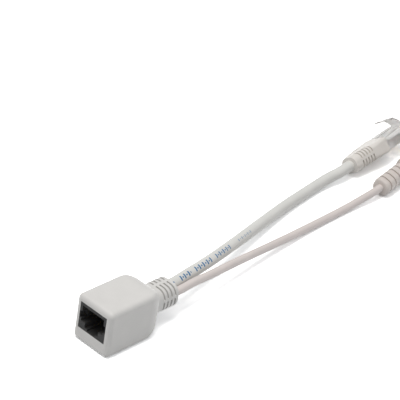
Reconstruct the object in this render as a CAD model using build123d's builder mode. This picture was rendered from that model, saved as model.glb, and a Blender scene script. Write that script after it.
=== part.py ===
from build123d import *
import math
import os

os.makedirs("parts", exist_ok=True)

# Splitter housing and its cable relief: millimetres, +Z up, the jack faces -Y
housing_w = 19.6
housing_h = 20.9
housing_l = 30.3
housing_long_edge_r = 2.2
housing_front_edge_r = 2.0
housing_rear_inset = 5.5
housing_rear_depth = 7.6
housing_rear_corner_r = 4.4
housing_rear_flat = 0.6
relief_w = 12.0
relief_h = 10.6
relief_l = 12.1
relief_r = 4.1
relief_rise = 0.2
relief_end_r = 0.6
relief_z = housing_h / 2 + relief_rise
front_y = -(housing_l + relief_l) / 2
relief_end = housing_l + relief_l

# Grooves that let the relief bend
groove_depth = 0.9
groove_over = 2.0
relief_groove_start = 3.8
relief_groove_first = housing_l + relief_groove_start
relief_groove_pitch = 2.07
relief_groove_count = 4
relief_groove_w = 0.85
relief_top_spine_w = 1.4
relief_top_spine_x = -0.5
relief_side_spine_h = 1.1
relief_side_spine_rise = 1.1

# Female modular jack, hung from the housing's top
jack_w = 14.6
jack_h = 12.1
jack_top_wall = 2.65
jack_depth = 17.5
jack_z = housing_h - jack_top_wall - jack_h / 2
jack_bottom = jack_z - jack_h / 2
cavity_w = 12.0
cavity_h = 7.1
cavity_rise = 3.6
cavity_depth = 14.0
cavity_bottom = jack_bottom + cavity_rise
cavity_top = cavity_bottom + cavity_h
rim_notch_rise = 1.25
rim_notch_h = 3.2
rim_notch_wall = 0.3
rim_notch_depth = 3.2
latch_slot_w = 7.4
latch_slot_h = 2.25
latch_slot_depth = 9.0
latch_slot_bottom = cavity_bottom - latch_slot_h
latch_mouth_w = 4.4
latch_mouth_depth = 9.0
latch_mouth_floor = 0.5
latch_mouth_bottom = jack_bottom + latch_mouth_floor

# Eight spring contacts of the jack
pin_pitch = 1.02
pin_middle = 4.5
contact_size = 0.4
contact_rise = 0.4
contact_clearance = 0.1
contact_tail_l = 1.9
contact_front = 2.9
contact_bend_drop = 1.25
contact_bend_forward = 0.45
contact_tip_depth = 10.0
contact_tip_drop = 2.95
contact_bend_r = 0.5
comb_front = 1.9
contact_z = cavity_top + contact_rise
contact_tail_end = jack_depth + contact_tail_l

# Inner mould and the wires soldered to the contacts
inner_mould_l = 7.9
inner_mould_end = jack_depth + inner_mould_l
bridge_l = 1.0
bridge_h = 1.3
bridge_r = 0.4
bridge_margin = 0.15
bridge_w = pin_pitch + contact_size + 2 * bridge_margin
bridge_end = contact_tail_end + bridge_l
data_wire_d = 0.95
data_wire_spread = 0.65
upper_wire_run = 2.1
upper_wire_lean = 1.3
lower_wire_run = 1.3
lower_wire_lean = 0.55
power_wire_d = 1.2
power_wire_spread = 0.7
power_wire_run = 2.0
power_wire_lean = 0.9
wire_bend_r = 0.8

# Data cable and power cable, side by side in the relief
data_cable_d = 5.2
power_cable_d = 3.6
bore_side_wall = 1.2
bore_gap = 0.4
data_bore_x = bore_side_wall + data_cable_d / 2 - relief_w / 2
power_bore_x = data_bore_x + data_cable_d / 2 + bore_gap + power_cable_d / 2
data_sheath_lap = 1.2
power_sheath_lap = 0.8
data_sheath_start = inner_mould_end - data_sheath_lap
power_sheath_start = inner_mould_end - power_sheath_lap
bend_share = 0.45

# Data plug with its moulded boot
data_entry = (-28.05, 170.8, 5.37)
data_yaw = 7.6
data_pitch = 2.6
data_roll = 37.0
plug_w = 11.7
plug_h = 6.6
plug_l = 21.5
plug_corner_r = 0.35
boot_l = 24.3
boot_lap = 1.3
boot_side_wall = 0.5
boot_top_wall = 0.5
boot_end_r = 1.2
boot_end_w = plug_w + 2 * boot_side_wall
boot_end_h = plug_h + 2 * boot_top_wall
boot_sections = [(0.0, 8.4, 7.8, 3.3), (3.2, 9.2, 8.2, 3.3), (12.4, 11.4, 7.9, 2.3),
                 (boot_l, boot_end_w, boot_end_h, boot_end_r)]
boot_groove_first = 4.7
boot_groove_pitch = 1.95
boot_groove_w = 0.9
boot_groove_core = [(9.4, 8.2), (9.8, 8.15), (10.3, 8.1), (10.8, 8.0), (11.3, 7.9)]
boot_groove_core_r = 1.8
boot_spine = 1.1
boot_side_spine_v = 0.45
boot_top_spine_w = 2.2
plug_back = boot_l - boot_lap
plug_nose = plug_back + plug_l
plug_sheath_l = 6.0
plug_sheath_end = plug_back + plug_sheath_l
plug_blade_t = 0.35
plug_blade_l = 5.8
plug_blade_h = 2.05
plug_blade_sunk = 0.25
plug_blade_nose_wall = 0.5
plug_blade_r = 0.9
plug_blade_end = plug_nose - plug_blade_nose_wall
plug_blade_start = plug_blade_end - plug_blade_l
plug_blade_edge = plug_blade_sunk - plug_h / 2
plug_blade_top = plug_blade_edge + plug_blade_h
tooth_h = 0.6
tooth_side_h = 0.9
tooth_start = 1.2
tooth_tip = 1.6
tooth_end = 2.2
blade_slot_w = 0.45
blade_slot_h = 1.4
blade_slot_back = 0.2
plug_wire_d = 0.9
plug_wire_over_blade = 0.1
plug_wire_straight = 0.8
plug_wire_spread_back = 3.2
plug_wire_nose_wall = 1.2
plug_wire_v = plug_blade_top + plug_wire_over_blade
plug_wire_spread_end = plug_blade_start - plug_wire_spread_back
plug_wire_end = plug_nose - plug_wire_nose_wall
plug_wire_starts = {1: -1.5 * pin_pitch, 2: -0.5 * pin_pitch, 3: 0.5 * pin_pitch, 6: 1.5 * pin_pitch}
top_recess_back = 8.0
top_recess_nose_wall = 1.5
top_recess_w = 7.4
top_recess_depth = 0.6
top_recess_start = plug_back + top_recess_back
top_recess_end = plug_nose - top_recess_nose_wall
crimp_back = 2.6
crimp_l = 3.0
crimp_w = 6.2
crimp_depth = 0.4
crimp_start = plug_back + crimp_back

# Latch lever: its places are counted back from the plug's nose and up from its top
latch_t = 0.85
latch_wide = 6.0
latch_narrow = 3.2
latch_root_half = 0.4
latch_root_t = 1.4
latch_heel = (0.6, 1.6)
latch_inner_heel = (1.5, 0.9)
latch_knee = (2.8, 3.6)
latch_inner_knee = (3.3, 2.7)
latch_shoulder_back = 5.1
latch_shoulder_rise = 5.25
latch_shoulder_step = 0.35
latch_reach = 13.8
latch_tip_rise = 6.65
latch_join = 0.5
plug_top = plug_h / 2
latch_shoulder = plug_nose - latch_shoulder_back
latch_shoulder_v = plug_top + latch_shoulder_rise
latch_tip = plug_nose - latch_reach
latch_tip_v = plug_top + latch_tip_rise

# Power plug: 5.5 mm barrel with a 2.1 mm bore
power_entry = (-8.05, 169.0, 4.5)
power_yaw = 8.7
power_pitch = 2.3
power_roll = -19.0
grip_start = 22.5
grip_l = 14.0
grip_size = 10.4
grip_r = 4.6
grip_end_r = 1.0
grip_end = grip_start + grip_l
collar_size = 8.2
collar_r = 3.2
collar_end_r = 1.3
power_groove_first = 3.0
power_groove_pitch = 4.15
power_groove_count = 5
power_groove_w = 0.95
power_groove_core = collar_size - 2 * groove_depth
power_groove_spine = 1.2
power_groove_spine_v = -0.8
power_plug_sheath_l = 14.0
metal_sunk = 10.0
metal_start = grip_end - metal_sunk
barrel_od = 5.5
barrel_l = 9.5
barrel_wall = 0.4
barrel_step = 0.2
barrel_end = grip_end + barrel_l
barrel_bore = 2.1
centre_wall = 0.4
centre_bore_sunk = 0.5
centre_od = barrel_bore + 2 * centre_wall
insulator_recess = 0.3
centre_recess = 0.8
plug_power_wire_u = 0.7
plug_power_wire_run = 2.5
plug_power_wire_end_run = 3.5
plug_power_wire_r = 2.0
barrel_wire_u = 2.1

# Planes: local x is to the left of the housing, local y is up, and the offset is the depth behind the front
front = Plane(origin=(0, front_y, 0), x_dir=(-1, 0, 0), z_dir=(0, 1, 0))


def axis_of(yaw, pitch):
    turn = math.radians(yaw)
    rise = math.radians(pitch)
    return Vector(-math.sin(turn) * math.cos(rise), math.cos(turn) * math.cos(rise), math.sin(rise))


def plug_plane(entry, yaw, pitch, roll):
    forward = axis_of(yaw, pitch)
    level_right = forward.cross(Vector(0, 0, 1)).normalized()
    level_up = level_right.cross(forward)
    right = level_right * math.cos(math.radians(roll)) + level_up * math.sin(math.radians(roll))
    return Plane(origin=entry, x_dir=-right, z_dir=forward)


def bend_radii(points):
    radii = []
    for before, here, after in zip(points, points[1:], points[2:]):
        run_in = Vector(*here) - Vector(*before)
        run_out = Vector(*after) - Vector(*here)
        half_turn = math.radians(run_in.get_angle(run_out)) / 2
        radii.append(bend_share * min(run_in.length, run_out.length) / math.tan(half_turn))
    return radii


data_plug = plug_plane(data_entry, data_yaw, data_pitch, data_roll)
power_plug = plug_plane(power_entry, power_yaw, power_pitch, power_roll)
data_axis = axis_of(data_yaw, data_pitch)
power_axis = axis_of(power_yaw, power_pitch)

# Housing and relief, moulded as one piece
with BuildPart() as housing:
    with BuildSketch(front) as housing_outline:
        with Locations((0, housing_h / 2)):
            RectangleRounded(housing_w, housing_h, housing_long_edge_r)
    extrude(amount=housing_l - housing_rear_depth)
    fillet(housing.edges().group_by(Axis.Y)[0], housing_front_edge_r)
    for degrees in (0, 18, 36, 54, 72, 90):
        inset = housing_rear_inset * (1 - math.cos(math.radians(degrees)))
        depth = housing_l - housing_rear_depth * (1 - math.sin(math.radians(degrees)))
        share = degrees / 90
        corner_r = housing_long_edge_r + (housing_rear_corner_r - housing_long_edge_r) * share
        corner_r = min(corner_r, min(housing_w, housing_h) / 2 - inset - housing_rear_flat)
        with BuildSketch(front.offset(depth)) as rear_outline:
            with Locations((0, housing_h / 2)):
                RectangleRounded(housing_w - 2 * inset, housing_h - 2 * inset, corner_r)
    loft()
    with BuildSketch(front.offset(housing_l - housing_rear_depth)) as relief_outline:
        with Locations((0, relief_z)):
            RectangleRounded(relief_w, relief_h, relief_r)
    extrude(amount=relief_l + housing_rear_depth)
    fillet(housing.edges().group_by(Axis.Y)[-1], relief_end_r)
    for station in range(relief_groove_count):
        groove_start = relief_groove_first + station * relief_groove_pitch - relief_groove_w / 2
        with BuildSketch(front.offset(groove_start)) as relief_groove:
            with Locations((0, relief_z)):
                Rectangle(relief_w + groove_over, relief_h + groove_over)
                RectangleRounded(relief_w - 2 * groove_depth, relief_h - 2 * groove_depth,
                                 relief_r - groove_depth, mode=Mode.SUBTRACT)
            with Locations((-relief_top_spine_x, relief_z)):
                Rectangle(relief_top_spine_w, relief_h + groove_over, mode=Mode.SUBTRACT)
            with Locations((0, relief_z + relief_side_spine_rise)):
                Rectangle(relief_w + groove_over, relief_side_spine_h, mode=Mode.SUBTRACT)
        extrude(amount=relief_groove_w, mode=Mode.SUBTRACT)
    with BuildSketch(front) as pocket_outline:
        with Locations((0, jack_z)):
            Rectangle(jack_w, jack_h)
    extrude(amount=inner_mould_end, mode=Mode.SUBTRACT)
    with BuildSketch(front.offset(inner_mould_end)) as cable_bores:
        with Locations((-data_bore_x, relief_z)):
            Circle(data_cable_d / 2)
        with Locations((-power_bore_x, relief_z)):
            Circle(power_cable_d / 2)
    extrude(amount=relief_end - inner_mould_end, mode=Mode.SUBTRACT)
housing.part.label = "housing"
export_step(housing.part, "parts/housing.step")

# Body of the female jack
with BuildPart() as jack_body:
    with BuildSketch(front) as jack_outline:
        with Locations((0, jack_z)):
            Rectangle(jack_w, jack_h)
    extrude(amount=jack_depth)
    with BuildSketch(front) as cavity_outline:
        with Locations((0, (cavity_bottom + cavity_top) / 2)):
            Rectangle(cavity_w, cavity_top - cavity_bottom)
    extrude(amount=cavity_depth, mode=Mode.SUBTRACT)
    with BuildSketch(front) as rim_notch_outline:
        with Locations((0, cavity_bottom + rim_notch_rise + rim_notch_h / 2)):
            Rectangle(jack_w - 2 * rim_notch_wall, rim_notch_h)
    extrude(amount=rim_notch_depth, mode=Mode.SUBTRACT)
    with BuildSketch(front) as latch_slot_outline:
        with Locations((0, (latch_slot_bottom + cavity_bottom) / 2)):
            Rectangle(latch_slot_w, cavity_bottom - latch_slot_bottom)
    extrude(amount=latch_slot_depth, mode=Mode.SUBTRACT)
    with BuildSketch(front) as latch_mouth_outline:
        with Locations((0, (latch_mouth_bottom + latch_slot_bottom) / 2)):
            Rectangle(latch_mouth_w, latch_slot_bottom - latch_mouth_bottom)
    extrude(amount=latch_mouth_depth, mode=Mode.SUBTRACT)
    for pin in range(1, 9):
        pin_x = (pin - pin_middle) * pin_pitch
        slot_top = contact_z + contact_size / 2
        with BuildSketch(front.offset(comb_front)) as comb_slot:
            with Locations((-pin_x, (cavity_top + slot_top) / 2)):
                Rectangle(contact_size + 2 * contact_clearance, slot_top - cavity_top)
        extrude(amount=cavity_depth - comb_front, mode=Mode.SUBTRACT)
        with BuildSketch(front.offset(cavity_depth)) as tail_hole:
            with Locations((-pin_x, contact_z)):
                Rectangle(contact_size, contact_size)
        extrude(amount=jack_depth - cavity_depth, mode=Mode.SUBTRACT)
jack_body.part.label = "jack_body"
export_step(jack_body.part, "parts/jack_body.step")

# Spring contacts: the tail, the run along the roof, the bend and the sprung arm
jack_contacts = []
for pin in range(1, 9):
    pin_x = (pin - pin_middle) * pin_pitch
    with BuildPart() as jack_contact:
        with BuildLine() as contact_path:
            FilletPolyline((pin_x, front_y + contact_tail_end, contact_z),
                           (pin_x, front_y + contact_front, contact_z),
                           (pin_x, front_y + contact_front - contact_bend_forward,
                            contact_z - contact_bend_drop),
                           (pin_x, front_y + contact_tip_depth, contact_z - contact_tip_drop),
                           radius=contact_bend_r)
        with BuildSketch(Plane(origin=(pin_x, front_y + contact_tail_end, contact_z), z_dir=(0, -1, 0))):
            Rectangle(contact_size, contact_size)
        sweep()
    jack_contact.part.label = f"jack_contact_{pin}"
    export_step(jack_contact.part, f"parts/jack_contact_{pin}.step")
    jack_contacts.append(jack_contact.part)

# Solder bridges that join pins 4 and 5, and pins 7 and 8
bridges = []
for bridge_name, bridge_x in (("power_bridge_positive", 0.0), ("power_bridge_negative", 3 * pin_pitch)):
    with BuildPart() as power_bridge:
        with BuildSketch(front.offset(contact_tail_end)) as bridge_outline:
            with Locations((-bridge_x, contact_z)):
                RectangleRounded(bridge_w, bridge_h, bridge_r)
        extrude(amount=bridge_l)
    power_bridge.part.label = bridge_name
    export_step(power_bridge.part, f"parts/{bridge_name}.step")
    bridges.append(power_bridge.part)

# Wires from the contacts to the data cable's sheath: pin, side, row, straight run and lean
data_wire_ways = ((1, -1, 1, upper_wire_run, upper_wire_lean), (2, 1, 1, upper_wire_run, upper_wire_lean),
                  (3, -1, -1, lower_wire_run, lower_wire_lean), (6, 1, -1, lower_wire_run, lower_wire_lean))
wires = []
for pin, side, row, run, lean in data_wire_ways:
    start_x = (pin - pin_middle) * pin_pitch
    start_y = front_y + contact_tail_end
    end_x = data_bore_x + side * data_wire_spread
    end_z = relief_z + row * data_wire_spread
    with BuildPart() as data_wire:
        with BuildLine() as wire_path:
            FilletPolyline((start_x, start_y, contact_z),
                           (start_x, start_y + run, contact_z),
                           (end_x, start_y + run + lean, end_z),
                           (end_x, front_y + data_sheath_start, end_z),
                           radius=wire_bend_r)
        with BuildSketch(Plane(origin=(start_x, start_y, contact_z), z_dir=(0, 1, 0))):
            Circle(data_wire_d / 2)
        sweep()
    data_wire.part.label = f"data_wire_pin_{pin}"
    export_step(data_wire.part, f"parts/data_wire_pin_{pin}.step")
    wires.append(data_wire.part)

# Wires from the bridges to the end of the power cable's sheath
power_wire_starts = (("power_wire_positive", 0.0, power_bore_x - power_wire_spread),
                     ("power_wire_negative", 3 * pin_pitch, power_bore_x + power_wire_spread))
for wire_name, start_x, end_x in power_wire_starts:
    start_y = front_y + bridge_end
    with BuildPart() as power_wire:
        with BuildLine() as wire_path:
            FilletPolyline((start_x, start_y, contact_z),
                           (start_x, start_y + power_wire_run, contact_z),
                           (end_x, start_y + power_wire_run + power_wire_lean, relief_z),
                           (end_x, front_y + power_sheath_start, relief_z),
                           radius=wire_bend_r)
        with BuildSketch(Plane(origin=(start_x, start_y, contact_z), z_dir=(0, 1, 0))):
            Circle(power_wire_d / 2)
        sweep()
    power_wire.part.label = wire_name
    export_step(power_wire.part, f"parts/{wire_name}.step")
    wires.append(power_wire.part)

# Ends of both cables, held in the relief
sheath_ends = []
for cable_name, cable_x, cable_d, start in (
        ("data_cable_housing_end", data_bore_x, data_cable_d, data_sheath_start),
        ("power_cable_housing_end", power_bore_x, power_cable_d, power_sheath_start)):
    with BuildPart() as sheath_end:
        with BuildSketch(front.offset(start)) as sheath_outline:
            with Locations((-cable_x, relief_z)):
                Circle(cable_d / 2)
        extrude(amount=relief_end - start)
    sheath_end.part.label = cable_name
    export_step(sheath_end.part, f"parts/{cable_name}.step")
    sheath_ends.append(sheath_end.part)

# Inner mould behind the jack, cast around the solder joints
with BuildPart() as inner_mould:
    with BuildSketch(front.offset(jack_depth)) as mould_outline:
        with Locations((0, jack_z)):
            Rectangle(jack_w, jack_h)
    extrude(amount=inner_mould_l)
    for inner_piece in jack_contacts + bridges + wires + sheath_ends:
        add(inner_piece, mode=Mode.SUBTRACT)
inner_mould.part.label = "inner_mould"
export_step(inner_mould.part, "parts/inner_mould.step")

# Free lengths of both cables, from the relief's end face to each plug's entry face
data_route = [
    (data_bore_x, front_y + relief_end, relief_z),
    (data_bore_x, 26.8, relief_z),
    (-3.9, 35.9, 10.15),
    (-6.1, 48.9, 9.15),
    (-9.4, 62.9, 7.8),
    (-13.5, 78.9, 6.15),
    (-17.6, 94.1, 4.7),
    (-21.1, 108.4, 3.55),
    (-24.2, 122.3, 2.85),
    (-26.2, 135.6, 2.64),
    (-27.75, 146.8, 2.75),
    (-28.1, 155.8, 3.75),
    tuple(Vector(*data_entry) - data_axis * 7.4),
    data_entry,
]
power_route = [
    (power_bore_x, front_y + relief_end, relief_z),
    (power_bore_x, 25.6, relief_z),
    (1.5, 33.9, 10.3),
    (0.9, 44.9, 9.4),
    (-0.6, 57.4, 8.1),
    (-2.3, 71.9, 6.4),
    (-3.9, 86.6, 4.7),
    (-5.3, 100.4, 3.25),
    (-6.4, 113.0, 2.35),
    (-7.1, 125.4, 1.9),
    (-7.6, 137.5, 1.83),
    (-7.8, 148.3, 2.2),
    (-7.75, 155.8, 3.1),
    tuple(Vector(*power_entry) - power_axis * 4.0),
    power_entry,
]
for cable_name, route, cable_d in (("data_cable", data_route, data_cable_d),
                                   ("power_cable", power_route, power_cable_d)):
    radii = bend_radii(route)
    with BuildPart() as cable:
        with BuildLine() as cable_line:
            FilletPolyline(*route, radius=radii)
        with BuildSketch(Plane(origin=route[0], z_dir=(0, 1, 0))):
            Circle(cable_d / 2)
        sweep()
    section = math.pi * cable_d ** 2 / 4
    length = sum(edge.length for edge in cable_line.edges())
    print(cable_name, "length", round(length, 2), "smallest radius", round(min(radii), 1))
    print(cable_name, "volume over section times length", round(cable.part.volume / (section * length), 4))
    print(cable_name, "radii", [round(radius, 1) for radius in radii])
    cable.part.label = cable_name
    export_step(cable.part, f"parts/{cable_name}.step")

# Data cable's end inside the boot and the plug
with BuildPart() as data_cable_plug_end:
    with BuildSketch(data_plug) as plug_sheath_outline:
        Circle(data_cable_d / 2)
    extrude(amount=plug_sheath_end)
data_cable_plug_end.part.label = "data_cable_plug_end"
export_step(data_cable_plug_end.part, "parts/data_cable_plug_end.step")

# Contact blades of the data plug, on the side away from the latch
tooth_root = plug_blade_top - tooth_h
blade_side_top = plug_blade_top - tooth_side_h
plug_contacts = []
for pin in range(1, 9):
    pin_u = (pin - pin_middle) * pin_pitch
    blade_plane = Plane(origin=data_plug.from_local_coords((pin_u + plug_blade_t / 2, 0, 0)),
                        x_dir=data_plug.z_dir, z_dir=-data_plug.x_dir)
    with BuildPart() as plug_contact:
        with BuildSketch(blade_plane) as blade_outline:
            with BuildLine() as blade_edge:
                FilletPolyline((plug_blade_start, blade_side_top), (plug_blade_start, plug_blade_edge),
                               (plug_blade_end, plug_blade_edge), (plug_blade_end, blade_side_top),
                               radius=plug_blade_r)
                Polyline((plug_blade_end, blade_side_top),
                         (plug_blade_end - tooth_start, tooth_root),
                         (plug_blade_end - tooth_tip, plug_blade_top),
                         (plug_blade_end - tooth_end, tooth_root),
                         (plug_blade_start + tooth_end, tooth_root),
                         (plug_blade_start + tooth_tip, plug_blade_top),
                         (plug_blade_start + tooth_start, tooth_root),
                         (plug_blade_start, blade_side_top))
            make_face()
        extrude(amount=plug_blade_t)
    plug_contact.part.label = f"data_plug_contact_{pin}"
    export_step(plug_contact.part, f"parts/data_plug_contact_{pin}.step")
    plug_contacts.append(plug_contact.part)

# Conductors that run from the sheath's end to under the blades
plug_wires = []
for pin, start_u in plug_wire_starts.items():
    pin_u = (pin - pin_middle) * pin_pitch
    route = [(start_u, 0, plug_sheath_end), (start_u, 0, plug_sheath_end + plug_wire_straight),
             (pin_u, plug_wire_v, plug_wire_spread_end), (pin_u, plug_wire_v, plug_wire_end)]
    with BuildPart() as plug_wire:
        with BuildLine() as wire_path:
            FilletPolyline(*[data_plug.from_local_coords(point) for point in route], radius=wire_bend_r)
        with BuildSketch(Plane(origin=data_plug.from_local_coords(route[0]), z_dir=data_plug.z_dir)):
            Circle(plug_wire_d / 2)
        sweep()
        add(plug_contacts[pin - 1], mode=Mode.SUBTRACT)
    plug_wire.part.label = f"data_plug_wire_{pin}"
    export_step(plug_wire.part, f"parts/data_plug_wire_{pin}.step")
    plug_wires.append(plug_wire.part)

# Clear plug body with its latch lever in one moulding
latch_plane = Plane(origin=data_plug.origin, x_dir=data_plug.z_dir, z_dir=-data_plug.x_dir)
with BuildPart() as data_plug_body:
    with BuildSketch(data_plug.offset(plug_back)) as plug_outline:
        RectangleRounded(plug_w, plug_h, plug_corner_r)
    extrude(amount=plug_l)
    with BuildSketch(data_plug.offset(top_recess_start)) as top_recess_outline:
        with Locations((0, plug_top - top_recess_depth / 2)):
            Rectangle(top_recess_w, top_recess_depth)
    extrude(amount=top_recess_end - top_recess_start, mode=Mode.SUBTRACT)
    with BuildSketch(data_plug.offset(crimp_start)) as crimp_outline:
        with Locations((0, plug_top - crimp_depth / 2)):
            Rectangle(crimp_w, crimp_depth)
    extrude(amount=crimp_l, mode=Mode.SUBTRACT)
    with BuildSketch(latch_plane) as latch_front_outline:
        with BuildLine() as latch_front_edge:
            Polyline((plug_nose, plug_top - latch_root_half), (plug_nose, plug_top + latch_root_half),
                     (plug_nose - latch_heel[0], plug_top + latch_heel[1]),
                     (plug_nose - latch_knee[0], plug_top + latch_knee[1]),
                     (latch_shoulder, latch_shoulder_v),
                     (latch_shoulder, latch_shoulder_v - latch_t - latch_shoulder_step),
                     (plug_nose - latch_inner_knee[0], plug_top + latch_inner_knee[1]),
                     (plug_nose - latch_inner_heel[0], plug_top + latch_inner_heel[1]),
                     (plug_nose - latch_root_t, plug_top - latch_root_half), close=True)
        make_face()
    extrude(amount=latch_wide / 2, both=True)
    with BuildSketch(latch_plane) as latch_tail_outline:
        with BuildLine() as latch_tail_edge:
            Polyline((latch_shoulder + latch_join, latch_shoulder_v - latch_join),
                     (latch_shoulder, latch_shoulder_v),
                     (latch_tip, latch_tip_v), (latch_tip, latch_tip_v - latch_t),
                     (latch_shoulder + latch_join, latch_shoulder_v - latch_t - latch_join), close=True)
        make_face()
    extrude(amount=latch_narrow / 2, both=True)
    with BuildSketch(data_plug.offset(plug_blade_start - blade_slot_back)) as blade_slots:
        for pin in range(1, 9):
            with Locations(((pin - pin_middle) * pin_pitch, blade_slot_h / 2 - plug_top)):
                Rectangle(blade_slot_w, blade_slot_h)
    extrude(amount=plug_nose - plug_blade_start + blade_slot_back, mode=Mode.SUBTRACT)
    for inner_piece in plug_contacts + plug_wires + [data_cable_plug_end.part]:
        add(inner_piece, mode=Mode.SUBTRACT)
data_plug_body.part.label = "data_plug_body"
export_step(data_plug_body.part, "parts/data_plug_body.step")

# Boot moulded over the cable and the back of the plug
with BuildPart() as data_plug_boot:
    for distance, width, height, corner_r in boot_sections:
        with BuildSketch(data_plug.offset(distance)) as boot_outline:
            RectangleRounded(width, height, corner_r)
    loft()
    for number, (width, height) in enumerate(boot_groove_core):
        groove_start = boot_groove_first + number * boot_groove_pitch - boot_groove_w / 2
        with BuildSketch(data_plug.offset(groove_start)) as boot_groove:
            Rectangle(width + 2 * groove_over, height + 2 * groove_over)
            RectangleRounded(width - 2 * groove_depth, height - 2 * groove_depth, boot_groove_core_r,
                             mode=Mode.SUBTRACT)
            with Locations((0, boot_side_spine_v)):
                Rectangle(width + 2 * groove_over, boot_spine, mode=Mode.SUBTRACT)
            Rectangle(boot_top_spine_w, height + 2 * groove_over, mode=Mode.SUBTRACT)
        extrude(amount=boot_groove_w, mode=Mode.SUBTRACT)
    with BuildSketch(data_plug.offset(plug_back)) as boot_pocket:
        RectangleRounded(plug_w, plug_h, plug_corner_r)
    extrude(amount=boot_l - plug_back, mode=Mode.SUBTRACT)
    with BuildSketch(data_plug) as boot_bore:
        Circle(data_cable_d / 2)
    extrude(amount=plug_back, mode=Mode.SUBTRACT)
data_plug_boot.part.label = "data_plug_boot"
export_step(data_plug_boot.part, "parts/data_plug_boot.step")

# Power cable's end inside the power plug
with BuildPart() as power_cable_plug_end:
    with BuildSketch(power_plug) as power_sheath_outline:
        Circle(power_cable_d / 2)
    extrude(amount=power_plug_sheath_l)
power_cable_plug_end.part.label = "power_cable_plug_end"
export_step(power_cable_plug_end.part, "parts/power_cable_plug_end.step")

# Outer barrel of the power plug, swaged down to a shank where the grip holds it
barrel_r = barrel_od / 2
shank_r = barrel_r - barrel_step
swage_end = grip_end + barrel_wall
with BuildPart() as power_plug_barrel:
    with BuildSketch(power_plug.offset(metal_start)) as shank_outline:
        Circle(shank_r)
    extrude(amount=metal_sunk)
    with BuildSketch(power_plug.offset(grip_end)) as barrel_outline:
        Circle(barrel_r)
    extrude(amount=barrel_l)
    with BuildSketch(power_plug.offset(metal_start)) as shank_bore:
        Circle(shank_r - barrel_wall)
    extrude(amount=swage_end - metal_start, mode=Mode.SUBTRACT)
    with BuildSketch(power_plug.offset(swage_end)) as barrel_inside:
        Circle(barrel_r - barrel_wall)
    extrude(amount=barrel_end - swage_end, mode=Mode.SUBTRACT)
power_plug_barrel.part.label = "power_plug_barrel"
export_step(power_plug_barrel.part, "parts/power_plug_barrel.step")

# Insulator between the barrel and the centre contact
with BuildPart() as power_plug_insulator:
    with BuildSketch(power_plug.offset(metal_start)) as insulator_back:
        Circle(shank_r - barrel_wall)
    extrude(amount=swage_end - metal_start)
    with BuildSketch(power_plug.offset(swage_end)) as insulator_outline:
        Circle(barrel_r - barrel_wall)
    extrude(amount=barrel_end - insulator_recess - swage_end)
    with BuildSketch(power_plug.offset(metal_start)) as insulator_bore:
        Circle(centre_od / 2)
    extrude(amount=barrel_end - metal_start, mode=Mode.SUBTRACT)
power_plug_insulator.part.label = "power_plug_insulator"
export_step(power_plug_insulator.part, "parts/power_plug_insulator.step")

# Centre contact, closed at its back
with BuildPart() as power_plug_centre_contact:
    with BuildSketch(power_plug.offset(metal_start)) as centre_outline:
        Circle(centre_od / 2)
    extrude(amount=barrel_end - centre_recess - metal_start)
    with BuildSketch(power_plug.offset(grip_end - centre_bore_sunk)) as centre_bore:
        Circle(barrel_bore / 2)
    extrude(amount=barrel_l + centre_bore_sunk, mode=Mode.SUBTRACT)
power_plug_centre_contact.part.label = "power_plug_centre_contact"
export_step(power_plug_centre_contact.part, "parts/power_plug_centre_contact.step")

# Wires from the power cable's end to the centre contact and to the barrel
power_plug_wires = []
for wire_name, start_u, end_u in (("power_plug_wire_positive", plug_power_wire_u, 0.0),
                                  ("power_plug_wire_negative", -plug_power_wire_u, -barrel_wire_u)):
    route = [(start_u, 0, power_plug_sheath_l), (start_u, 0, power_plug_sheath_l + plug_power_wire_run),
             (end_u, 0, metal_start - plug_power_wire_end_run), (end_u, 0, metal_start)]
    with BuildPart() as power_plug_wire:
        with BuildLine() as wire_path:
            FilletPolyline(*[power_plug.from_local_coords(point) for point in route],
                           radius=plug_power_wire_r)
        with BuildSketch(Plane(origin=power_plug.from_local_coords(route[0]), z_dir=power_plug.z_dir)):
            Circle(power_wire_d / 2)
        sweep()
    power_plug_wire.part.label = wire_name
    export_step(power_plug_wire.part, f"parts/{wire_name}.step")
    power_plug_wires.append(power_plug_wire.part)

# Collar of the power plug, rounded where the cable comes in
with BuildPart() as power_collar:
    with BuildSketch(power_plug) as collar_outline:
        RectangleRounded(collar_size, collar_size, collar_r)
    extrude(amount=grip_start)
    corner_arcs = power_collar.edges().filter_by(GeomType.LINE, reverse=True)
    fillet(corner_arcs.sort_by_distance(power_entry)[:4], collar_end_r)

# Collar and grip, moulded as one piece
with BuildPart() as power_plug_body:
    with BuildSketch(power_plug.offset(grip_start)) as grip_outline:
        RectangleRounded(grip_size, grip_size, grip_r)
    extrude(amount=grip_l)
    fillet(power_plug_body.edges().filter_by(GeomType.LINE, reverse=True), grip_end_r)
    add(power_collar.part)
    for number in range(power_groove_count):
        groove_start = power_groove_first + number * power_groove_pitch - power_groove_w / 2
        with BuildSketch(power_plug.offset(groove_start)) as power_groove:
            Rectangle(collar_size + groove_over, collar_size + groove_over)
            RectangleRounded(power_groove_core, power_groove_core, collar_r - groove_depth,
                             mode=Mode.SUBTRACT)
            with Locations((0, power_groove_spine_v)):
                Rectangle(collar_size + groove_over, power_groove_spine, mode=Mode.SUBTRACT)
        extrude(amount=power_groove_w, mode=Mode.SUBTRACT)
    with BuildSketch(power_plug.offset(metal_start)) as metal_hole:
        Circle(shank_r)
    extrude(amount=metal_sunk, mode=Mode.SUBTRACT)
    for inner_piece in power_plug_wires + [power_cable_plug_end.part]:
        add(inner_piece, mode=Mode.SUBTRACT)
power_plug_body.part.label = "power_plug_body"
export_step(power_plug_body.part, "parts/power_plug_body.step")
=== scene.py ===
"""Looks of the splitter: free cables, finishes, floor, lamps and camera.

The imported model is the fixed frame, and every size here is in that frame. Sizes are in millimetres unless a
name says otherwise, and become metres where they reach Blender.
"""

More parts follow.
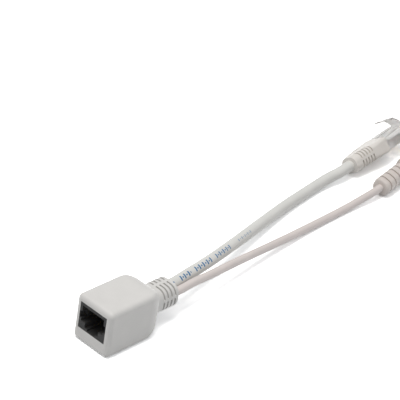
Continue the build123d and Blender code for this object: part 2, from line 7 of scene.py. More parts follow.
import logging
import math
from dataclasses import dataclass
from enum import Enum
from typing import Any, Optional, Sequence, Union

import bmesh
import bpy
from mathutils import Matrix, Vector

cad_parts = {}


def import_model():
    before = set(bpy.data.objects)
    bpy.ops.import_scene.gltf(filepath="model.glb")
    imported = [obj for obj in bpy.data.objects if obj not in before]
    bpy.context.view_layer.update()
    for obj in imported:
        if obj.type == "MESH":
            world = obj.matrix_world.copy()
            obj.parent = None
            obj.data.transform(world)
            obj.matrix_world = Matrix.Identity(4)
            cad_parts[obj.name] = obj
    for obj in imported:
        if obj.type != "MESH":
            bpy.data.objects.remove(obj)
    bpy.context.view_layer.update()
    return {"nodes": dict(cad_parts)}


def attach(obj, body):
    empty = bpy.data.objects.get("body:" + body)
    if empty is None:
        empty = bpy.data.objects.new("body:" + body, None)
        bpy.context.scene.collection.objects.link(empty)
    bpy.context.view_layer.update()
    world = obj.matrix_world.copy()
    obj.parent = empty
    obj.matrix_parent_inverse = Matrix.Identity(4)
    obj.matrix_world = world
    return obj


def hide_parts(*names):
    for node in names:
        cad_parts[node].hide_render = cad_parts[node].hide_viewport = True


LOG = logging.getLogger("splitter")
MM = 0.001
BODY = "root"
DATA_PINS = (1, 2, 3, 6)
ALL_PINS = tuple(range(1, 9))
DISPLAY_TOP = 255
PICTURE_WIDTH = 400
SENSOR_WIDTH = 36.0
FULL_TURN = 360.0
UV_SEAM_ANGLE = 165.0
NOISE_MIDDLE = 0.5
ROUGHNESS_SPREAD = 0.1

Colour = tuple[float, float, float]
Point = tuple[float, float, float]
Number = Union[int, float]
Value = Union["Socket", Number, Sequence[Number]]


def srgb(red: Number, green: Number, blue: Number) -> Colour:
    """Turn display values from 0 to 255 into a linear colour.

    Args:
        red: Red, 0 to 255.
        green: Green, 0 to 255.
        blue: Blue, 0 to 255.

    Returns:
        The linear colour.
    """
    shares = [value / DISPLAY_TOP for value in (red, green, blue)]
    linear = [share / 12.92 if share <= 0.04045 else ((share + 0.055) / 1.055) ** 2.4 for share in shares]
    return linear[0], linear[1], linear[2]


def scaled(colour: Colour, share: float) -> Colour:
    """Return the colour times a share, with no part over 1."""
    return min(1.0, colour[0] * share), min(1.0, colour[1] * share), min(1.0, colour[2] * share)


class Socket:
    """An output of a shader node that takes part in Python arithmetic."""

    def __init__(self, graph: "Graph", link: bpy.types.NodeSocket) -> None:
        """Wrap an output socket of a graph."""
        self.graph = graph
        self.link = link

    def _math(self, operation: str, first: Value, second: Value) -> "Socket":
        """Add a Math node and return its output."""
        return self.graph.add("ShaderNodeMath", {"operation": operation}, {0: first, 1: second})

    def __add__(self, other: Value) -> "Socket":
        """Self plus other."""
        return self._math("ADD", self, other)

    __radd__ = __add__

    def __mul__(self, other: Value) -> "Socket":
        """Self times other."""
        return self._math("MULTIPLY", self, other)

    __rmul__ = __mul__

    def __sub__(self, other: Value) -> "Socket":
        """Self minus other."""
        return self._math("SUBTRACT", self, other)

    def __truediv__(self, other: Value) -> "Socket":
        """Self over other."""
        return self._math("DIVIDE", self, other)

    def __mod__(self, other: Value) -> "Socket":
        """Self wrapped into the range from zero to other."""
        return self._math("FLOORED_MODULO", self, other)

    def __lt__(self, other: Value) -> "Socket":
        """1 where self is under other, else 0."""
        return self._math("LESS_THAN", self, other)

    def __gt__(self, other: Value) -> "Socket":
        """1 where self is over other, else 0."""
        return self._math("GREATER_THAN", self, other)

    def __abs__(self) -> "Socket":
        """Self without its sign."""
        return self._math("ABSOLUTE", self, 0.0)

    def __or__(self, other: Value) -> "Socket":
        """The larger of self and other."""
        return self._math("MAXIMUM", self, other)


class Graph:
    """The node tree of one material."""

    def __init__(self, name: str) -> None:
        """Start an empty material of that name."""
        self.material = bpy.data.materials.new(name)
        self.material.use_nodes = True
        self.tree = self.material.node_tree
        self.tree.nodes.clear()

    def add(self, kind: str, settings: Optional[dict[str, Any]] = None,
            inputs: Optional[dict[Union[str, int], Value]] = None, output: Union[str, int] = 0) -> Socket:
        """Add a node.

        Args:
            kind: The node's type.
            settings: Its settings, set first. "stops" are the places and colours of a ramp.
            inputs: Values or sockets, by the input's name or number. A colour gets its alpha here.
            output: The output to return.

        Returns:
            That output, wrapped.
        """
        node = self.tree.nodes.new(kind)
        for key, value in (settings or {}).items():
            if key == "stops":
                self._set_stops(node.color_ramp, value)
            else:
                setattr(node, key, value)
        for key, value in (inputs or {}).items():
            socket = node.inputs[key]
            if isinstance(value, Socket):
                self.tree.links.new(value.link, socket)
            else:
                socket.default_value = (*value, 1.0) if socket.type == "RGBA" else value
        return Socket(self, node.outputs[output])

    @staticmethod
    def _set_stops(ramp: bpy.types.ColorRamp, stops: Sequence[tuple[float, Colour]]) -> None:
        """Give a ramp its stops.

        Args:
            ramp: The ramp of a new node, which has two stops.
            stops: Place and colour of each stop.
        """
        while len(ramp.elements) < len(stops):
            ramp.elements.new(0.5)
        for element, (place, colour) in zip(ramp.elements, stops):
            element.position = place
            element.color = (*colour, 1.0)

    def mix(self, factor: Value, first: Value, second: Value) -> Socket:
        """Mix two colours, the second where the factor is 1."""
        return self.add("ShaderNodeMix", {"data_type": "RGBA"}, {0: factor, 6: first, 7: second}, 2)

    def place(self, stretch: float = 1.0) -> Socket:
        """Return Object coordinates in metres, with Y times a number: under 1 draws patterns out along Y."""
        here = self.add("ShaderNodeTexCoord", output="Object")
        return self.add("ShaderNodeMapping", {}, {"Vector": here, "Scale": (1.0, stretch, 1.0)})

    def part(self, vector: Socket, axis: int) -> Socket:
        """Return one part of a vector: 0, 1 or 2 for X, Y or Z."""
        return self.add("ShaderNodeSeparateXYZ", {}, {"Vector": vector}, axis)

    def noise(self, vector: Socket, size: float, detail: float = 2.0, roughness: float = 0.5) -> Socket:
        """Return noise around 0.5 whose spots are about that many millimetres wide."""
        inputs = {"Vector": vector, "Scale": 1 / (size * MM), "Detail": detail, "Roughness": roughness}
        return self.add("ShaderNodeTexNoise", {}, inputs)

    def around(self, middle: float, spread: float, noise: Socket) -> Socket:
        """Return a number that drifts around its middle with the noise."""
        return middle + spread * (noise - NOISE_MIDDLE)

    def clouded(self, colour: Colour, shares: tuple[float, float], cloud: Socket,
                start: float = 0.3) -> Socket:
        """Let a colour drift between two shares of itself.

        Args:
            colour: The colour.
            shares: Its lowest and highest share.
            cloud: The noise that it follows.
            start: Where in the noise the lowest share ends.

        Returns:
            The drifting colour.
        """
        stops = [(start, scaled(colour, shares[0])), (0.7, scaled(colour, shares[1]))]
        return self.add("ShaderNodeValToRGB", {"stops": stops}, {"Fac": cloud})

    def bump(self, height: Socket, depth: float, before: Optional[Socket] = None) -> Socket:
        """Bend the normal by a height.

        Args:
            height: The height, from 0 to 1.
            depth: What a height of 1 stands for, in millimetres.
            before: A normal to bend further.

        Returns:
            The normal.
        """
        inputs: dict[Union[str, int], Value] = {"Height": height, "Distance": depth * MM, "Strength": 1.0}
        if before is not None:
            inputs["Normal"] = before
        return self.add("ShaderNodeBump", {}, inputs)

    def surface(self, inputs: dict[Union[str, int], Value]) -> bpy.types.Material:
        """End the material in a Principled surface with those inputs."""
        return self.end(self.add("ShaderNodeBsdfPrincipled", {}, inputs))

    def end(self, shader: Socket) -> bpy.types.Material:
        """Send a shader to the material's output and return the material."""
        output = self.tree.nodes.new("ShaderNodeOutputMaterial")
        self.tree.links.new(shader.link, output.inputs["Surface"])
        return self.material


class Sheen(Enum):
    """How the tool left a plastic, as roughness."""

    SATIN = 0.42
    MATT = 0.55


@dataclass(frozen=True)
class MouldedPlastic:
    """Opaque moulded plastic with a fine spark-eroded grain.

    Attributes:
        name: Name of the material.
        colour: Colour of the plastic.
        sheen: How the tool left it.
        drift: How much the colour drifts over a piece.
        grain: Depth of the grain.
        gloss: How strongly it reflects, where 0.5 is common plastic.
        grain_size: Width of one spot of the grain.
        drift_size: Width of one patch of drifting colour.
        patch_size: Width of one patch of drifting roughness.
        swell: Height of the slow waves in the surface.
        swell_size: Width of one slow wave.
    """

    name: str
    colour: Colour
    sheen: Sheen = Sheen.SATIN
    drift: float = 0.025
    grain: float = 0.012
    gloss: float = 0.4
    grain_size: float = 0.32
    drift_size: float = 9.0
    patch_size: float = 1.6
    swell: float = 0.03
    swell_size: float = 3.5

    def build(self) -> bpy.types.Material:
        """Return the material."""
        graph = Graph(self.name)
        place = graph.place()
        fine = graph.noise(place, self.grain_size, 2.0, 0.6)
        waves = graph.bump(graph.noise(place, self.swell_size, 1.0), self.swell)
        drift = (1 - self.drift, 1 + self.drift)
        patches = graph.noise(place, self.patch_size)
        return graph.surface({
            "Base Color": graph.clouded(self.colour, drift, graph.noise(place, self.drift_size, 3.0)),
            "Roughness": graph.around(self.sheen.value, ROUGHNESS_SPREAD, patches),
            "Normal": graph.bump(fine, self.grain, waves),
            "Specular IOR Level": self.gloss,
        })


@dataclass(frozen=True)
class PrintedBars:
    """A printed row along a cable: tall bars with a low mark after each.

    Attributes:
        groups: Start and end of each group along the cable, how much ink it has and its share of the height.
        pitch: Distance from one tall bar to the next.
        stroke: Width of a bar or mark.
        step: Distance from a tall bar to the low mark after it.
        height: Height of a tall bar.
        low_height: Height of a low mark.
        angle: Where the row lies, in degrees up from the cable's right side.
        ink: Colour of the ink.
        wear_size: Width of one spot of worn ink.
    """

    groups: tuple[tuple[float, float, float, float], ...]
    pitch: float = 2.8
    stroke: float = 0.8
    step: float = 1.4
    height: float = 2.3
    low_height: float = 0.7
    angle: float = 55.0
    ink: Colour = srgb(46, 112, 160)
    wear_size: float = 0.5

    def print_on(self, graph: Graph, colour: Socket, along: Socket, off_middle: Socket) -> Socket:
        """Print the row over a sheath's colour.

        Args:
            graph: The material's graph.
            colour: Colour of the bare sheath.
            along: Distance along the cable.
            off_middle: Distance from the middle of the row, round the sheath.

        Returns:
            The colour with the row.
        """
        inked: Optional[Socket] = None
        for start, end, strength, share in self.groups:
            here = (along > start) * (along < end)
            cell = (along - start) % self.pitch
            tall = (cell < self.stroke) * (off_middle < self.height * share / 2)
            low_reach = off_middle < self.low_height * share / 2
            low = (cell > self.step) * (cell < self.step + self.stroke) * low_reach
            group = here * (tall | low) * strength
            inked = group if inked is None else inked | group
        worn = 0.75 + 0.5 * graph.noise(graph.place(), self.wear_size, 2.0)
        return colour if inked is None else graph.mix(inked * worn, colour, self.ink)


@dataclass(frozen=True)
class CableSheath:
    """Extruded cable sheath, with draw lines along it and what lies under it showing faintly.

    Attributes:
        name: Name of the material.
        colour: Colour of the sheath.
        diameter: Its outside diameter.
        bars: Bars that are printed on it.
        lay: Length of one turn of the twisted wires under it.
        swell: How far the wires lift the sheath.
        strands: Number of bundles of wires that show round it.
        drift: Lowest and highest share of the colour.
        drift_size: Width of one patch of drifting colour.
        roughness: How dull it is.
        patch_size: Width of one patch of drifting roughness.
        line_size: Width of one draw line.
        line_stretch: Share of their density that the draw lines keep along the cable.
        line_depth: Depth of the draw lines.
        gloss: How strongly it reflects, where 0.5 is common plastic.
    """

    name: str
    colour: Colour
    diameter: float
    bars: Optional[PrintedBars] = None
    lay: float = 14.0
    swell: float = 0.05
    strands: int = 2
    drift: tuple[float, float] = (0.97, 1.03)
    drift_size: float = 11.0
    roughness: float = 0.43
    patch_size: float = 2.0
    line_size: float = 0.3
    line_stretch: float = 0.06
    line_depth: float = 0.008
    gloss: float = 0.4

    def build(self, shares: Sequence[float], length: float) -> bpy.types.Material:
        """Make the material.

        Args:
            shares: Distance along the cable as a share of its length, at even steps of the UV map.
            length: Length of the cable.

        Returns:
            The material.
        """
        graph = Graph(self.name)
        place = graph.place()
        chart = graph.add("ShaderNodeUVMap")
        along = self._distance(graph, graph.part(chart, 0), shares, length)
        around = graph.part(chart, 1)
        colour = graph.clouded(self.colour, self.drift, graph.noise(place, self.drift_size, 3.0))
        if self.bars is not None:
            middle = (UV_SEAM_ANGLE - self.bars.angle) / FULL_TURN
            off_middle = abs(around - middle) * (math.pi * self.diameter)
            colour = self.bars.print_on(graph, colour, along, off_middle)
        lines = graph.noise(graph.place(self.line_stretch), self.line_size, 1.0)
        turns = (around * self.strands + along / self.lay) * math.tau
        twist = graph.add("ShaderNodeMath", {"operation": "SINE"}, {0: turns})
        patches = graph.noise(place, self.patch_size)
        return graph.surface({
            "Base Color": colour,
            "Roughness": graph.around(self.roughness, ROUGHNESS_SPREAD, patches),
            "Normal": graph.bump(lines, self.line_depth, graph.bump(0.5 + 0.5 * twist, self.swell)),
            "Specular IOR Level": self.gloss,
        })

    @staticmethod
    def _distance(graph: Graph, step: Socket, shares: Sequence[float], length: float) -> Socket:
        """Turn the UV map's even steps into millimetres along the cable.

        Args:
            graph: The material's graph.
            step: The UV map's first part, from 0 to 1.
            shares: Distance as a share of the length, at even steps.
            length: Length of the cable.

        Returns:
            The distance.
        """
        last = len(shares) - 1
        stops = [(number / last, (share, share, share)) for number, share in enumerate(shares)]
        return graph.add("ShaderNodeValToRGB", {"stops": stops}, {"Fac": step}) * length


@dataclass(frozen=True)
class ClearPlastic:
    """Clear plug plastic, a little cloudy, with flow lines.

    Attributes:
        name: Name of the material.
        tint: Colour of the light that it lets through.
        cloud: Roughness of its inside and outside.
        cloud_spread: How much that roughness drifts.
        cloud_size: Width of one patch of drifting roughness.
        drift: Lowest and highest share of the tint.
        drift_start: Where in the noise the lowest share ends.
        drift_size: Width of one patch of drifting tint.
        flow_size: Width of one flow line.
        flow_stretch: Share of their density that the flow lines keep along the plug.
        flow_depth: Depth of the flow lines.
        clearness: How much light passes instead of being scattered.
        bending: How strongly it bends light.
        gloss: How strongly it reflects, where 0.5 is common plastic.
    """

    name: str
    tint: Colour
    cloud: float = 0.32
    cloud_spread: float = 0.08
    cloud_size: float = 1.2
    drift: tuple[float, float] = (0.94, 1.0)
    drift_start: float = 0.35
    drift_size: float = 4.0
    flow_size: float = 1.4
    flow_stretch: float = 0.25
    flow_depth: float = 0.02
    clearness: float = 0.55
    bending: float = 1.15
    gloss: float = 0.9

    def build(self) -> bpy.types.Material:
        """Return the material."""
        graph = Graph(self.name)
        place = graph.place()
        flow = graph.noise(graph.place(self.flow_stretch), self.flow_size, 2.0)
        drift = graph.noise(place, self.drift_size)
        return graph.surface({
            "Base Color": graph.clouded(self.tint, self.drift, drift, self.drift_start),
            "Roughness": graph.around(self.cloud, self.cloud_spread, graph.noise(place, self.cloud_size)),
            "Normal": graph.bump(flow, self.flow_depth),
            "Transmission Weight": self.clearness,
            "IOR": self.bending,
            "Specular IOR Level": self.gloss,
        })


@dataclass(frozen=True)
class PlatedMetal:
    """Plated or drawn metal with fine lines along its length.

    Attributes:
        name: Name of the material.
        colour: Colour of the metal.
        roughness: How dull it is.
        line_size: Width of the fine lines.
        line_stretch: Share of their density that the lines keep along the metal.
        line_depth: Depth of the lines.
        line_dulling: How much the lines change its roughness.
        drift: Lowest and highest share of the colour.
        drift_size: Width of one patch of drifting colour.
    """

    name: str
    colour: Colour
    roughness: float = 0.24
    line_size: float = 0.12
    line_stretch: float = 0.1
    line_depth: float = 0.003
    line_dulling: float = 0.15
    drift: tuple[float, float] = (0.9, 1.0)
    drift_size: float = 1.5

    def build(self) -> bpy.types.Material:
        """Return the material."""
        graph = Graph(self.name)
        lines = graph.noise(graph.place(self.line_stretch), self.line_size, 2.0)
        cloud = graph.noise(graph.place(), self.drift_size, 3.0)
        return graph.surface({
            "Base Color": graph.clouded(self.colour, self.drift, cloud),
            "Roughness": graph.around(self.roughness, self.line_dulling, lines),
            "Normal": graph.bump(lines, self.line_depth),
            "Metallic": 1.0,
        })


@dataclass(frozen=True)
class WireInsulation:
    """Thin wire insulation in one colour, or with a second colour in bands along the wire.

    Attributes:
        name: Name of the material.
        colour: Main colour.
        band: Colour of the bands.
        pitch: Distance from band to band.
        band_share: Share of the pitch that a band takes.
        drift: Lowest and highest share of the main colour.
        drift_size: Width of one patch of drifting colour.
        roughness: How dull it is.
        patch_size: Width of one patch of drifting roughness.
        line_size: Width of one draw line.
        line_stretch: Share of their density that the draw lines keep along the wire.
        line_depth: Depth of the draw lines.
    """

    name: str
    colour: Colour
    band: Optional[Colour] = None
    pitch: float = 2.4
    band_share: float = 0.4
    drift: tuple[float, float] = (0.93, 1.05)
    drift_size: float = 1.0
    roughness: float = 0.38
    patch_size: float = 0.6
    line_size: float = 0.15
    line_stretch: float = 0.1
    line_depth: float = 0.004

    def build(self) -> bpy.types.Material:
        """Return the material."""
        graph = Graph(self.name)
        place = graph.place()
        colour = graph.clouded(self.colour, self.drift, graph.noise(place, self.drift_size))
        if self.band is not None:
            along = graph.part(place, 1) / (self.pitch * MM)
            colour = graph.mix((along % 1) < self.band_share, colour, self.band)
        lines = graph.noise(graph.place(self.line_stretch), self.line_size)
        patches = graph.noise(place, self.patch_size)
        return graph.surface({
            "Base Color": colour,
            "Roughness": graph.around(self.roughness, ROUGHNESS_SPREAD, patches),
            "Normal": graph.bump(lines, self.line_depth),
        })


Finish = Union[MouldedPlastic, ClearPlastic, PlatedMetal, WireInsulation]


def dress(nodes: dict[str, bpy.types.Object], names: Sequence[str], finish: Finish) -> None:
    """Give CAD nodes a finish.

    Args:
        nodes: The frame's nodes by name.
        names: The nodes to dress.
        finish: What they are finished in.
    """
    material = finish.build()
    for name in names:
        mesh = nodes[name].data
        mesh.materials.clear()
        mesh.materials.append(material)
    LOG.info("%s: %s", finish.name, ", ".join(names))


@dataclass
class HousingEnd:
    """Moulded housing with the socket, its contacts and the joints behind it.

    Attributes:
        shell: Finish of the housing with its cable relief.
        mould: Finish of the inner mould.
        socket: Finish of the socket's body.
        contacts: Finish of the socket's contacts.
        solder: Finish of the bridges between the power pins.
    """

    shell: MouldedPlastic = MouldedPlastic("housing_plastic", srgb(216, 214, 211))
    mould: MouldedPlastic = MouldedPlastic("inner_mould_plastic", srgb(200, 198, 190), Sheen.MATT)
    socket: MouldedPlastic = MouldedPlastic("socket_plastic", srgb(58, 58, 58), Sheen.MATT, 0.1, 0.008, 0.12)
    contacts: PlatedMetal = PlatedMetal("gold_contacts", srgb(226, 178, 92))
    solder: PlatedMetal = PlatedMetal("solder", srgb(170, 172, 175), 0.42, 0.4)

    def build(self, nodes: dict[str, bpy.types.Object]) -> None:
        """Dress the housing and what is in it."""
        dress(nodes, ["housing"], self.shell)
        dress(nodes, ["inner_mould"], self.mould)
        dress(nodes, ["jack_body"], self.socket)
        dress(nodes, [f"jack_contact_{pin}" for pin in ALL_PINS], self.contacts)
        dress(nodes, ["power_bridge_positive", "power_bridge_negative"], self.solder)


@dataclass
class Wiring:
    """Finishes of the thin wires in the housing and in both plugs.

    Attributes:
        white: Main colour of the banded wires.
        orange: Colour of the first pair.
        green: Colour of the second pair.
        red: Colour of the positive wire.
        black: Colour of the negative wire.
    """

    white: Colour = srgb(226, 222, 214)
    orange: Colour = srgb(224, 118, 44)
    green: Colour = srgb(52, 138, 74)
    red: Colour = srgb(190, 44, 38)
    black: Colour = srgb(30, 30, 32)

    def build(self, nodes: dict[str, bpy.types.Object]) -> None:
        """Dress each wire in its own colours."""
        pairs = {
            1: WireInsulation("wire_white_orange", self.white, self.orange),
            2: WireInsulation("wire_orange", self.orange),
            3: WireInsulation("wire_white_green", self.white, self.green),
            6: WireInsulation("wire_green", self.green),
        }
        for pin, finish in pairs.items():
            dress(nodes, [f"data_wire_pin_{pin}", f"data_plug_wire_{pin}"], finish)
        for pole, finish in (("positive", WireInsulation("wire_red", self.red)),
                             ("negative", WireInsulation("wire_black", self.black))):
            dress(nodes, [f"power_wire_{pole}", f"power_plug_wire_{pole}"], finish)


@dataclass
class FreeCable:
    """One free cable on a smooth curve, from the relief to its plug.

    Attributes:
        name: Name of the piece.
        node: The CAD tube that it stands for.
        route: Its route.
        diameter: Its thickness.
        length: Its real length.
        on_it: The CAD nodes at its far end; not used.
        finish: Its sheath.
        curve_steps: Steps of the curve from one point of the route to the next.
        round_steps: Steps of each quarter of its round.
        share_steps: Even steps at which the distance along it is measured.
    """

    name: str
    node: str
    route: tuple[Point, ...]
    diameter: float
    length: float
    on_it: tuple[str, ...]
    finish: CableSheath
    curve_steps: int = 12
    round_steps: int = 10
    share_steps: int = 24

    def build(self) -> None:
        curve = self._curve()
        curve.materials.append(self.finish.build(self._shares(curve), self.length))
        curve.bevel_depth = self.diameter / 2 * MM
        curve.bevel_resolution = self.round_steps
        curve.use_fill_caps = True
        cable = bpy.data.objects.new(self.name, curve)
        bpy.context.scene.collection.objects.link(cable)
        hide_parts(self.node)
        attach(cable, BODY)
        tuple(part * MM for part in self.route[0])
        self.diameter * MM
        LOG.info("%s: %.0f mm long, %.1f mm thick", self.name, self.length, self.diameter)

    def _curve(self) -> bpy.types.Curve:
        """Return the bare curve on the cable's route."""
        curve = bpy.data.curves.new(self.name, "CURVE")
        curve.dimensions = "3D"
        curve.resolution_u = self.curve_steps
        curve.twist_mode = "Z_UP"
        spline = curve.splines.new("NURBS")
        spline.points.add(len(self.route) - 1)
        for point, place in zip(spline.points, self.route):
            point.co = (*(Vector(place) * MM), 1.0)
        spline.order_u = 3
        spline.use_endpoint_u = True
        return curve

    def _shares(self, curve: bpy.types.Curve) -> list[float]:
        """Measure how distance grows along the curve.

        Args:
            curve: The bare curve.

        Returns:
            The distance at each even step of its UV map, as a share of the whole.
        """
        probe = bpy.data.objects.new("probe", curve)
        line = bpy.data.meshes.new_from_object(probe)
        points = [vertex.co.copy() for vertex in line.vertices]
        bpy.data.objects.remove(probe)
        bpy.data.meshes.remove(line)
        travelled = [0.0]
        for before, here in zip(points, points[1:]):
            travelled.append(travelled[-1] + (here - before).length)
        last = len(points) - 1
        places = [round(step * last / self.share_steps) for step in range(self.share_steps + 1)]
        return [travelled[place] / travelled[-1] for place in places]


@dataclass
class DataLead:
    """Data cable with its grooved boot and clear plug.

    Attributes:
        diameter: Thickness of the cable.
        length: Length of the free cable.
        sheath_colour: Colour of the sheath.
        bars: What is printed on it.
        boot: Finish of the boot.
        clear: Finish of the plug's body.
        blades: Finish of the plug's contacts.
        route: Points that the free cable is drawn towards, from the relief to the boot.
    """

    diameter: float = 5.2
    length: float = 153.0
    sheath_colour: Colour = srgb(220, 219, 215)
    bars: PrintedBars = PrintedBars((
        (1.3, 3.8, 0.8, 1.0), (7.6, 15.1, 1.0, 1.0), (18.7, 31.1, 1.0, 1.0), (35.1, 47.5, 0.9, 0.9),
        (54.9, 67.3, 0.5, 0.5),
    ))
    boot: MouldedPlastic = MouldedPlastic("data_boot_plastic", srgb(227, 222, 216))
    clear: ClearPlastic = ClearPlastic("clear_plug_plastic", srgb(228, 226, 224))
    blades: PlatedMetal = PlatedMetal("gold_blades", srgb(228, 182, 96), 0.2)
    route: tuple[Point, ...] = (
        (-2.2, 21.2, 10.65), (-2.2, 26.8, 10.65), (-3.9, 35.9, 10.15), (-6.1, 48.9, 9.15),
        (-9.4, 62.9, 7.8), (-13.5, 78.9, 6.15), (-17.6, 94.1, 4.7), (-21.1, 108.4, 3.55),
        (-24.2, 122.3, 2.85), (-26.2, 135.6, 2.64), (-27.75, 146.8, 2.75), (-28.1, 155.8, 3.75),
        (-27.072, 163.473, 5.034), (-28.05, 170.8, 5.37),
    )

    def build(self, nodes: dict[str, bpy.types.Object]) -> None:
        """Make the free cable and dress its ends and its plug."""
        sheath = CableSheath("data_sheath", self.sheath_colour, self.diameter, self.bars)
        contacts = tuple(f"data_plug_contact_{pin}" for pin in ALL_PINS)
        wires = tuple(f"data_plug_wire_{pin}" for pin in DATA_PINS)
        on_it = ("data_cable_plug_end", "data_plug_boot", "data_plug_body", *contacts, *wires)
        FreeCable("data_lead", "data_cable", self.route, self.diameter, self.length, on_it, sheath).build()
        dress(nodes, ["data_cable_housing_end", "data_cable_plug_end"],
              MouldedPlastic("data_sheath_end", self.sheath_colour))
        dress(nodes, ["data_plug_boot"], self.boot)
        dress(nodes, ["data_plug_body"], self.clear)
        dress(nodes, contacts, self.blades)


@dataclass
class PowerLead:
    """Power cable with its grooved grip and barrel plug.

    Attributes:
        diameter: Thickness of the cable.
        length: Length of the free cable.
        sheath_colour: Colour of the sheath.
        swell: How far the wires lift the sheath.
        grip: Finish of the plug's collar and grip.
        nickel: Finish of the barrel.
        insulator: Finish of the insulator in the barrel.
        centre: Finish of the centre contact.
        route: Points that the free cable is drawn towards, from the relief to the collar.
    """

    diameter: float = 3.6
    length: float = 149.0
    sheath_colour: Colour = srgb(220, 211, 207)
    swell: float = 0.02
    grip: MouldedPlastic = MouldedPlastic("power_grip_plastic", srgb(214, 205, 199))
    nickel: PlatedMetal = PlatedMetal("nickel_barrel", srgb(198, 196, 190), 0.2)
    insulator: MouldedPlastic = MouldedPlastic("insulator_plastic", srgb(44, 44, 46), Sheen.SATIN, 0.1)
    centre: PlatedMetal = PlatedMetal("centre_contact_metal", srgb(205, 180, 120), 0.28)
    route: tuple[Point, ...] = (
        (2.6, 21.2, 10.65), (2.6, 25.6, 10.65), (1.5, 33.9, 10.3), (0.9, 44.9, 9.4),
        (-0.6, 57.4, 8.1), (-2.3, 71.9, 6.4), (-3.9, 86.6, 4.7), (-5.3, 100.4, 3.25),
        (-6.4, 113.0, 2.35), (-7.1, 125.4, 1.9), (-7.6, 137.5, 1.83), (-7.8, 148.3, 2.2),
        (-7.75, 155.8, 3.1), (-7.445, 165.049, 4.339), (-8.05, 169.0, 4.5),
    )

    def build(self, nodes: dict[str, bpy.types.Object]) -> None:
        """Make the free cable and dress its ends and its plug."""
        sheath = CableSheath("power_sheath", self.sheath_colour, self.diameter, swell=self.swell)
        inside = ("power_plug_insulator", "power_plug_centre_contact", "power_plug_wire_positive",
                  "power_plug_wire_negative")
        on_it = ("power_cable_plug_end", "power_plug_body", "power_plug_barrel", *inside)
        FreeCable("power_lead", "power_cable", self.route, self.diameter, self.length, on_it, sheath).build()
        dress(nodes, ["power_cable_housing_end", "power_cable_plug_end"],
              MouldedPlastic("power_sheath_end", self.sheath_colour))
        dress(nodes, ["power_plug_body"], self.grip)
        dress(nodes, ["power_plug_barrel"], self.nickel)
        dress(nodes, ["power_plug_insulator"], self.insulator)
        dress(nodes, ["power_plug_centre_contact"], self.centre)


@dataclass(frozen=True)
class Lamp:
    """A square lamp that looks at the object.

    Attributes:
        name: Name of the lamp.
        place: Where it hangs, in metres.
        side: Length of its side, in metres.
        level: How brightly it lights a white surface that faces it, where 1 is white.
        tint: Colour of its light.
    """

    name: str
    place: Point
    side: float
    level: float
    tint: Colour = (1.0, 0.985, 0.965)


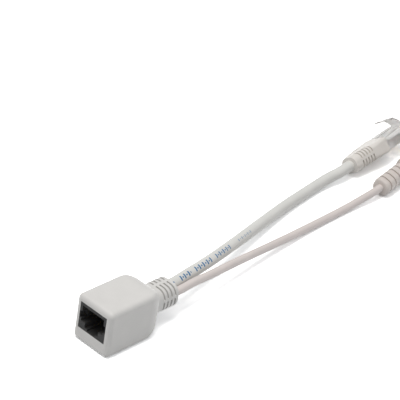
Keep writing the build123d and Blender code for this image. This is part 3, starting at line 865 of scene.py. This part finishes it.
@dataclass
class Studio:
    """Floor, lamps, world and camera.

    Attributes:
        target: What the lamps look at, in metres.
        lamps: The lamps.
        world_level: Brightness of the even surround.
        world_tint: Colour of the even surround.
        floor_reach: How far the floor reaches from the origin, in metres.
        floor_bounce: Colour of the floor for light that bounces off it.
        floor_gain: How strongly the seen floor answers to light.
        camera_place: Where the camera stands.
        camera_right: Direction to the right in the picture.
        camera_up: Upward direction in the picture.
        camera_back: Direction from the object to the camera.
        camera_reach: How far the camera sees, in metres.
        focal_pixels: Focal length in pixels of the picture.
    """

    target: Point = (-0.01, 0.08, 0.0)
    lamps: tuple[Lamp, ...] = (Lamp("broad_lamp", (-0.13, -0.15, 1.1), 0.5, 0.55),)
    world_level: float = 0.5
    world_tint: Colour = (0.97, 0.985, 1.0)
    floor_reach: float = 3.0
    floor_bounce: Colour = (0.52, 0.53, 0.54)
    floor_gain: float = 2.05
    camera_place: Point = (402.88, -466.22, 440.09)
    camera_right: Point = (0.71172, 0.68784, 0.14258)
    camera_up: Point = (-0.45241, 0.29355, 0.84211)
    camera_back: Point = (0.53738, -0.66385, 0.52012)
    camera_reach: float = 20.0
    focal_pixels: float = 1900.0

    def build(self) -> None:
        """Make the floor, the lamps, the world and the camera."""
        self._floor()
        for lamp in self.lamps:
            self._hang(lamp)
        self._world()
        self._camera()

    def _floor(self) -> None:
        """Make a pale floor that shows as white and keeps the shadow."""
        mesh = bpy.data.meshes.new("floor")
        sheet = bmesh.new()
        bmesh.ops.create_grid(sheet, x_segments=1, y_segments=1, size=self.floor_reach)
        sheet.to_mesh(mesh)
        sheet.free()
        floor = bpy.data.objects.new("floor", mesh)
        bpy.context.scene.collection.objects.link(floor)
        graph = Graph("floor")
        rays = [graph.add("ShaderNodeLightPath", output=name)
                for name in ("Is Camera Ray", "Is Glossy Ray", "Is Transmission Ray")]
        half = self.floor_gain / 2
        cloth = graph.add("ShaderNodeBsdfDiffuse", {}, {"Color": (half, half, half)})
        seen = graph.add("ShaderNodeAddShader", {}, {0: cloth, 1: cloth})
        plain = graph.add("ShaderNodeBsdfDiffuse", {}, {"Color": self.floor_bounce})
        graph.end(graph.add("ShaderNodeMixShader", {}, {0: rays[0] | rays[1] | rays[2], 1: plain, 2: seen}))
        mesh.materials.append(graph.material)
        LOG.info("floor: %.0f m wide", 2 * self.floor_reach)

    def _hang(self, lamp: Lamp) -> None:
        """Hang one lamp so that it looks at the object."""
        towards = Vector(self.target) - Vector(lamp.place)
        data = bpy.data.lights.new(lamp.name, "AREA")
        data.shape = "SQUARE"
        data.size = lamp.side
        data.energy = lamp.level * math.pi ** 2 * towards.length_squared
        data.color = lamp.tint
        hung = bpy.data.objects.new(lamp.name, data)
        hung.location = lamp.place
        hung.rotation_euler = towards.to_track_quat("-Z", "Y").to_euler()
        bpy.context.scene.collection.objects.link(hung)
        LOG.info("%s: level %.2f", lamp.name, lamp.level)

    def _world(self) -> None:
        """Make an even pale surround."""
        world = bpy.data.worlds.new("surround")
        world.use_nodes = True
        sky = world.node_tree.nodes["Background"]
        sky.inputs["Color"].default_value = (*self.world_tint, 1)
        sky.inputs["Strength"].default_value = self.world_level
        bpy.context.scene.world = world

    def _camera(self) -> None:
        """Make the camera at the photograph's angle."""
        data = bpy.data.cameras.new("camera")
        data.sensor_width = SENSOR_WIDTH
        data.lens = SENSOR_WIDTH * self.focal_pixels / PICTURE_WIDTH
        data.clip_end = self.camera_reach
        camera = bpy.data.objects.new("camera", data)
        turn = Matrix((self.camera_right, self.camera_up, self.camera_back)).transposed().to_4x4()
        camera.matrix_world = Matrix.Translation(Vector(self.camera_place) * MM) @ turn
        bpy.context.scene.collection.objects.link(camera)
        bpy.context.scene.camera = camera
        bpy.context.scene.view_settings.view_transform = "Standard"


def main() -> None:
    """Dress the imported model, make the cables and the studio, and note the sizes."""
    logging.basicConfig(level=logging.INFO)
    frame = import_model()
    nodes = frame["nodes"]
    HousingEnd().build(nodes)
    Wiring().build(nodes)
    DataLead().build(nodes)
    PowerLead().build(nodes)
    Studio().build()


if __name__ == "__main__":
    main()
